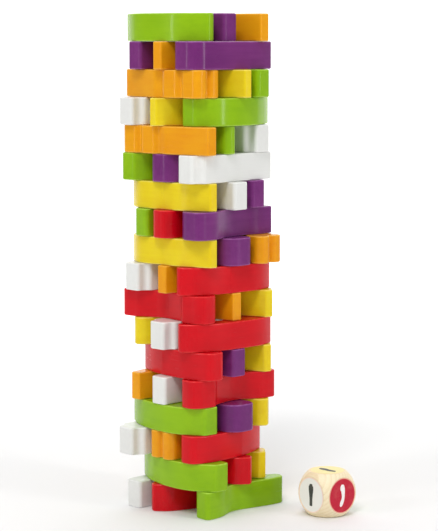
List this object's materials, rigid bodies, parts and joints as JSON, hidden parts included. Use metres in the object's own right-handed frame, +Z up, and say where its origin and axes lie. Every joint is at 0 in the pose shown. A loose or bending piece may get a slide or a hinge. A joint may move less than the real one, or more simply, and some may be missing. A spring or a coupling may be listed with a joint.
{
  "type": "tumbling tower game",
  "caption": "Table-top tumbling tower of painted wooden blocks shaped as vegetables, stacked in crossed rows, with a rounded colour die beside it.",
  "frame": {"origin": "on the table under the middle of the tower, on the underside of the bottom row's middle block", "axes": "+Z up the tower; the bottom row's blocks lie along X and the next row's along Y; the near lanes are on the -X and -Y sides and the die lies off to -Y"},
  "size_m": [0.0828, 0.1158, 0.2709],
  "materials": {
    "green_paint": "satin-gloss paint",
    "red_paint": "satin-gloss paint",
    "yellow_paint": "satin-gloss paint",
    "white_paint": "satin-gloss paint",
    "orange_paint": "satin-gloss paint",
    "purple_paint": "satin-gloss paint",
    "bare_wood": "natural, fine sanded"
  },
  "bodies": {
    "row01_near": {"row01_near_cucumber": "green_paint"},
    "row01_middle": {"row01_middle_pepper": "red_paint"},
    "row01_far": {"row01_far_onion": "white_paint"},
    "row02_near": {"row02_near_cucumber": "green_paint"},
    "row02_middle": {"row02_middle_pepper": "red_paint"},
    "row02_far": {"row02_far_corn": "yellow_paint"},
    "row03_near": {"row03_near_pepper": "red_paint"},
    "row03_middle": {"row03_middle_carrot": "orange_paint"},
    "row03_far": {"row03_far_onion": "white_paint"},
    "row04_near": {"row04_near_cucumber": "green_paint"},
    "row04_middle": {"row04_middle_aubergine": "purple_paint"},
    "row04_far": {"row04_far_corn": "yellow_paint"},
    "row05_near": {"row05_near_pepper": "red_paint"},
    "row05_middle": {"row05_middle_onion": "white_paint"},
    "row05_far": {"row05_far_carrot": "orange_paint"},
    "row06_near": {"row06_near_pepper": "red_paint"},
    "row06_middle": {"row06_middle_aubergine": "purple_paint"},
    "row06_far": {"row06_far_corn": "yellow_paint"},
    "row07_near": {"row07_near_pepper": "red_paint"},
    "row07_middle": {"row07_middle_onion": "white_paint"},
    "row07_far": {"row07_far_corn": "yellow_paint"},
    "row08_near": {"row08_near_pepper": "red_paint"},
    "row08_middle": {"row08_middle_carrot": "orange_paint"},
    "row08_far": {"row08_far_corn": "yellow_paint"},
    "row09_near": {"row09_near_pepper": "red_paint"},
    "row09_middle": {"row09_middle_carrot": "orange_paint"},
    "row09_far": {"row09_far_onion": "white_paint"},
    "row10_near": {"row10_near_corn": "yellow_paint"},
    "row10_middle": {"row10_middle_aubergine": "purple_paint"},
    "row10_far": {"row10_far_carrot": "orange_paint"},
    "row11_near": {"row11_near_aubergine": "purple_paint"},
    "row11_middle": {"row11_middle_pepper": "red_paint"},
    "row11_far": {"row11_far_cucumber": "green_paint"},
    "row12_near": {"row12_near_corn": "yellow_paint"},
    "row12_middle": {"row12_middle_onion": "white_paint"},
    "row12_far": {"row12_far_aubergine": "purple_paint"},
    "row13_near": {"row13_near_onion": "white_paint"},
    "row13_middle": {"row13_middle_aubergine": "purple_paint"},
    "row13_far": {"row13_far_cucumber": "green_paint"},
    "row14_near": {"row14_near_carrot": "orange_paint"},
    "row14_middle": {"row14_middle_cucumber": "green_paint"},
    "row14_far": {"row14_far_onion": "white_paint"},
    "row15_near": {"row15_near_cucumber": "green_paint"},
    "row15_middle": {"row15_middle_corn": "yellow_paint"},
    "row15_far": {"row15_far_onion": "white_paint"},
    "row16_near": {"row16_near_carrot": "orange_paint"},
    "row16_middle": {"row16_middle_corn": "yellow_paint"},
    "row16_far": {"row16_far_cucumber": "green_paint"},
    "row17_near": {"row17_near_aubergine": "purple_paint"},
    "row17_middle": {"row17_middle_carrot": "orange_paint"},
    "row17_far": {"row17_far_aubergine": "purple_paint"},
    "row18_near": {"row18_near_cucumber": "green_paint"},
    "row18_middle": {"row18_middle_aubergine": "purple_paint"},
    "row18_far": {"row18_far_carrot": "orange_paint"},
    "die": {"die": "bare_wood"}
  },
  "joints": [
    {"name": "die_lift", "type": "slide", "parent": "row01_middle", "child": "die", "axis": [0, 0, 1], "range_m": [0, 0.06]},
    {"name": "row18_near_slide", "type": "slide", "parent": "row01_middle", "child": "row18_near", "axis": [0, 1, 0], "range_m": [-0.062, 0.062]},
    {"name": "row17_near_slide", "type": "slide", "parent": "row01_middle", "child": "row17_near", "axis": [1, 0, 0], "range_m": [-0.062, 0.062]},
    {"name": "row16_near_slide", "type": "slide", "parent": "row01_middle", "child": "row16_near", "axis": [0, 1, 0], "range_m": [-0.062, 0.062]},
    {"name": "row15_near_slide", "type": "slide", "parent": "row01_middle", "child": "row15_near", "axis": [1, 0, 0], "range_m": [-0.062, 0.062]},
    {"name": "row14_near_slide", "type": "slide", "parent": "row01_middle", "child": "row14_near", "axis": [0, 1, 0], "range_m": [-0.062, 0.062]},
    {"name": "row13_near_slide", "type": "slide", "parent": "row01_middle", "child": "row13_near", "axis": [1, 0, 0], "range_m": [-0.062, 0.062]},
    {"name": "row12_near_slide", "type": "slide", "parent": "row01_middle", "child": "row12_near", "axis": [0, 1, 0], "range_m": [-0.062, 0.062]},
    {"name": "row11_near_slide", "type": "slide", "parent": "row01_middle", "child": "row11_near", "axis": [1, 0, 0], "range_m": [-0.062, 0.062]},
    {"name": "row10_near_slide", "type": "slide", "parent": "row01_middle", "child": "row10_near", "axis": [0, 1, 0], "range_m": [-0.062, 0.062]},
    {"name": "row09_near_slide", "type": "slide", "parent": "row01_middle", "child": "row09_near", "axis": [1, 0, 0], "range_m": [-0.062, 0.062]},
    {"name": "row08_near_slide", "type": "slide", "parent": "row01_middle", "child": "row08_near", "axis": [0, 1, 0], "range_m": [-0.062, 0.062]},
    {"name": "row07_near_slide", "type": "slide", "parent": "row01_middle", "child": "row07_near", "axis": [1, 0, 0], "range_m": [-0.062, 0.062]},
    {"name": "row06_near_slide", "type": "slide", "parent": "row01_middle", "child": "row06_near", "axis": [0, 1, 0], "range_m": [-0.062, 0.062]},
    {"name": "row05_near_slide", "type": "slide", "parent": "row01_middle", "child": "row05_near", "axis": [1, 0, 0], "range_m": [-0.062, 0.062]},
    {"name": "row04_near_slide", "type": "slide", "parent": "row01_middle", "child": "row04_near", "axis": [0, 1, 0], "range_m": [-0.062, 0.062]},
    {"name": "row03_near_slide", "type": "slide", "parent": "row01_middle", "child": "row03_near", "axis": [1, 0, 0], "range_m": [-0.062, 0.062]},
    {"name": "row02_near_slide", "type": "slide", "parent": "row01_middle", "child": "row02_near", "axis": [0, 1, 0], "range_m": [-0.062, 0.062]},
    {"name": "row01_near_slide", "type": "slide", "parent": "row01_middle", "child": "row01_near", "axis": [1, 0, 0], "range_m": [-0.062, 0.062]},
    {"name": "row18_middle_slide", "type": "slide", "parent": "row01_middle", "child": "row18_middle", "axis": [0, 1, 0], "range_m": [-0.062, 0.062]},
    {"name": "row17_middle_slide", "type": "slide", "parent": "row01_middle", "child": "row17_middle", "axis": [1, 0, 0], "range_m": [-0.062, 0.062]},
    {"name": "row16_middle_slide", "type": "slide", "parent": "row01_middle", "child": "row16_middle", "axis": [0, 1, 0], "range_m": [-0.062, 0.062]},
    {"name": "row15_middle_slide", "type": "slide", "parent": "row01_middle", "child": "row15_middle", "axis": [1, 0, 0], "range_m": [-0.062, 0.062]},
    {"name": "row14_middle_slide", "type": "slide", "parent": "row01_middle", "child": "row14_middle", "axis": [0, 1, 0], "range_m": [-0.062, 0.062]},
    {"name": "row13_middle_slide", "type": "slide", "parent": "row01_middle", "child": "row13_middle", "axis": [1, 0, 0], "range_m": [-0.062, 0.062]},
    {"name": "row12_middle_slide", "type": "slide", "parent": "row01_middle", "child": "row12_middle", "axis": [0, 1, 0], "range_m": [-0.062, 0.062]},
    {"name": "row11_middle_slide", "type": "slide", "parent": "row01_middle", "child": "row11_middle", "axis": [1, 0, 0], "range_m": [-0.062, 0.062]},
    {"name": "row10_middle_slide", "type": "slide", "parent": "row01_middle", "child": "row10_middle", "axis": [0, 1, 0], "range_m": [-0.062, 0.062]},
    {"name": "row09_middle_slide", "type": "slide", "parent": "row01_middle", "child": "row09_middle", "axis": [1, 0, 0], "range_m": [-0.062, 0.062]},
    {"name": "row08_middle_slide", "type": "slide", "parent": "row01_middle", "child": "row08_middle", "axis": [0, 1, 0], "range_m": [-0.062, 0.062]},
    {"name": "row07_middle_slide", "type": "slide", "parent": "row01_middle", "child": "row07_middle", "axis": [1, 0, 0], "range_m": [-0.062, 0.062]},
    {"name": "row06_middle_slide", "type": "slide", "parent": "row01_middle", "child": "row06_middle", "axis": [0, 1, 0], "range_m": [-0.062, 0.062]},
    {"name": "row05_middle_slide", "type": "slide", "parent": "row01_middle", "child": "row05_middle", "axis": [1, 0, 0], "range_m": [-0.062, 0.062]},
    {"name": "row04_middle_slide", "type": "slide", "parent": "row01_middle", "child": "row04_middle", "axis": [0, 1, 0], "range_m": [-0.062, 0.062]},
    {"name": "row03_middle_slide", "type": "slide", "parent": "row01_middle", "child": "row03_middle", "axis": [1, 0, 0], "range_m": [-0.062, 0.062]},
    {"name": "row02_middle_slide", "type": "slide", "parent": "row01_middle", "child": "row02_middle", "axis": [0, 1, 0], "range_m": [-0.062, 0.062]},
    {"name": "row18_far_slide", "type": "slide", "parent": "row01_middle", "child": "row18_far", "axis": [0, 1, 0], "range_m": [-0.062, 0.062]},
    {"name": "row17_far_slide", "type": "slide", "parent": "row01_middle", "child": "row17_far", "axis": [1, 0, 0], "range_m": [-0.062, 0.062]},
    {"name": "row16_far_slide", "type": "slide", "parent": "row01_middle", "child": "row16_far", "axis": [0, 1, 0], "range_m": [-0.062, 0.062]},
    {"name": "row15_far_slide", "type": "slide", "parent": "row01_middle", "child": "row15_far", "axis": [1, 0, 0], "range_m": [-0.062, 0.062]},
    {"name": "row14_far_slide", "type": "slide", "parent": "row01_middle", "child": "row14_far", "axis": [0, 1, 0], "range_m": [-0.062, 0.062]},
    {"name": "row13_far_slide", "type": "slide", "parent": "row01_middle", "child": "row13_far", "axis": [1, 0, 0], "range_m": [-0.062, 0.062]},
    {"name": "row12_far_slide", "type": "slide", "parent": "row01_middle", "child": "row12_far", "axis": [0, 1, 0], "range_m": [-0.062, 0.062]},
    {"name": "row11_far_slide", "type": "slide", "parent": "row01_middle", "child": "row11_far", "axis": [1, 0, 0], "range_m": [-0.062, 0.062]},
    {"name": "row10_far_slide", "type": "slide", "parent": "row01_middle", "child": "row10_far", "axis": [0, 1, 0], "range_m": [-0.062, 0.062]},
    {"name": "row09_far_slide", "type": "slide", "parent": "row01_middle", "child": "row09_far", "axis": [1, 0, 0], "range_m": [-0.062, 0.062]},
    {"name": "row08_far_slide", "type": "slide", "parent": "row01_middle", "child": "row08_far", "axis": [0, 1, 0], "range_m": [-0.062, 0.062]},
    {"name": "row07_far_slide", "type": "slide", "parent": "row01_middle", "child": "row07_far", "axis": [1, 0, 0], "range_m": [-0.062, 0.062]},
    {"name": "row06_far_slide", "type": "slide", "parent": "row01_middle", "child": "row06_far", "axis": [0, 1, 0], "range_m": [-0.062, 0.062]},
    {"name": "row05_far_slide", "type": "slide", "parent": "row01_middle", "child": "row05_far", "axis": [1, 0, 0], "range_m": [-0.062, 0.062]},
    {"name": "row04_far_slide", "type": "slide", "parent": "row01_middle", "child": "row04_far", "axis": [0, 1, 0], "range_m": [-0.062, 0.062]},
    {"name": "row03_far_slide", "type": "slide", "parent": "row01_middle", "child": "row03_far", "axis": [1, 0, 0], "range_m": [-0.062, 0.062]},
    {"name": "row02_far_slide", "type": "slide", "parent": "row01_middle", "child": "row02_far", "axis": [0, 1, 0], "range_m": [-0.02, 0.062]},
    {"name": "row01_far_slide", "type": "slide", "parent": "row01_middle", "child": "row01_far", "axis": [1, 0, 0], "range_m": [-0.062, 0.062]}
  ]
}
